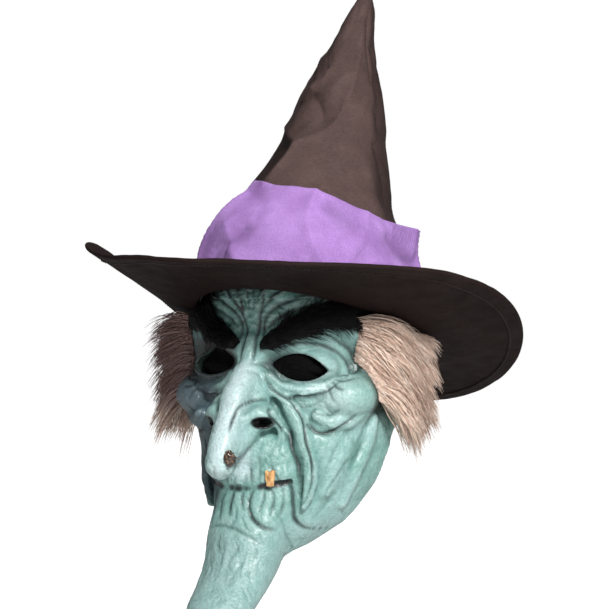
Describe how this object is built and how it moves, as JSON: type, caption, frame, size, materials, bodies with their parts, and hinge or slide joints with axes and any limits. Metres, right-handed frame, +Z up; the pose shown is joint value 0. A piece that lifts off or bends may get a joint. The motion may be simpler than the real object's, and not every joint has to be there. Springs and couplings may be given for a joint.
{
  "type": "latex halloween mask",
  "caption": "Hollow latex witch face with fur brows, side hair and a strap, under a tipping cone hat with a wired brim.",
  "frame": {"origin": "middle of the head opening, in the plane of the hat's sweatband, where the head comes in", "axes": "+Z up through the hat, the face looks along -Y, +X is the wearer's left"},
  "size_m": [0.3516, 0.3681, 0.5262],
  "materials": {
    "latex": "satin, airbrushed",
    "eye_gauze": "matte",
    "brow_fur": "long pile",
    "hair_fur": "long pile",
    "wart": "gloss",
    "tooth": "satin",
    "crown_cloth": "satin",
    "brim_cloth": "satin",
    "band_cloth": "matte",
    "lining_cloth": "matte",
    "sweatband": "ribbed",
    "felt": "matte",
    "wire": "drawn",
    "tape": "twill",
    "foam": "open cell",
    "elastic": "woven",
    "rivet_metal": "aged"
  },
  "bodies": {
    "mask": {"latex_face": "latex", "eye_gauze_left": "eye_gauze", "eye_gauze_right": "eye_gauze", "eyebrow_left": "brow_fur", "eyebrow_right": "brow_fur", "nose_wart": "wart", "snaggle_tooth": "tooth", "hat_tape": "tape", "forehead_pad": "foam", "elastic_strap": "elastic", "strap_rivets": "rivet_metal", "strap_washers": "rivet_metal"},
    "hat": {"hat_crown": "crown_cloth", "hat_lining": "lining_cloth", "hat_sweatband": "sweatband", "hat_band": "band_cloth", "brim_stiffener": "felt", "brim_top_cloth": "brim_cloth", "brim_under_cloth": "brim_cloth", "brim_wire": "wire", "brim_hem": "brim_cloth"},
    "hair_left": {"hair_left": "hair_fur"},
    "hair_right": {"hair_right": "hair_fur"}
  },
  "joints": [
    {"name": "hat_tip", "type": "hinge", "parent": "mask", "child": "hat", "pos_m": [0, -0.09891, 0.03214], "axis": [1, 0, 0], "range_deg": [0, 30]},
    {"name": "hair_left_swing", "type": "hinge", "parent": "mask", "child": "hair_left", "pos_m": [0.086, 0, -0.003], "axis": [0, -1, 0], "range_deg": [0, 30]},
    {"name": "hair_right_swing", "type": "hinge", "parent": "mask", "child": "hair_right", "pos_m": [-0.086, 0, -0.003], "axis": [0, 1, 0], "range_deg": [0, 30]}
  ]
}
